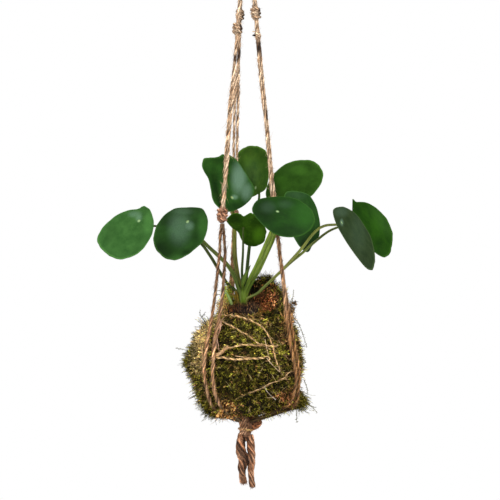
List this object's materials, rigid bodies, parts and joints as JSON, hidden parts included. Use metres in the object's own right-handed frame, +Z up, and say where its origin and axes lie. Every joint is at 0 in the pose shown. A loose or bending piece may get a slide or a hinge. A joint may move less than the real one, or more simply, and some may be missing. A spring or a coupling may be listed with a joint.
{
  "type": "hanging moss ball plant",
  "caption": "Round-leaved plant rooted in a moss ball bound with twine, hung in a knotted jute hanger with a top loop and short frayed rope tails under the bottom knot.",
  "frame": {"origin": "Inside top of the hanging loop, where a hook carries the plant", "axes": "+Z up along the hanger, -Y to the front of the plant, +X to its right as seen from the front"},
  "size_m": [0.3054, 0.1505, 0.601],
  "materials": {
    "leaf": "fresh leaf with a soft waxy sheen, paler underside, rim and stalk",
    "young_leaf": "young leaf, still rolled, satin",
    "shoot": "pale green shoot, satin",
    "crown": "green stem base, satin",
    "moss": "sheet moss of fine pointed sprigs, dull, olive green with tan and red-brown patches",
    "soil": "moist dark potting soil with roots, rough",
    "jute": "natural jute cord, twisted, hairy, dull",
    "twine": "thin pale jute twine, hairy, dull",
    "rope": "coarse twisted jute rope, frayed, dull"
  },
  "bodies": {
    "root": {"hanging_loop": "jute", "gathering_knot": "jute", "leg_left": "jute", "leg_back": "jute", "leg_right": "jute", "sling_left_1": "jute", "sling_left_2": "jute", "sling_back_1": "jute", "sling_back_2": "jute", "sling_right_1": "jute", "sling_right_2": "jute", "bottom_knot": "rope", "tail_left": "rope", "tail_right": "rope", "moss_wrap": "moss", "binding_twine": "twine", "soil_ball": "soil", "stem_crown": "crown", "young_leaf": "young_leaf", "side_shoot": "shoot", "leaf_1": "leaf", "leaf_2": "leaf", "leaf_3": "leaf", "leaf_4": "leaf", "leaf_5": "leaf", "leaf_6": "leaf", "leaf_7": "leaf", "leaf_8": "leaf", "leaf_9": "leaf", "leaf_10": "leaf"}
  },
  "joints": []
}
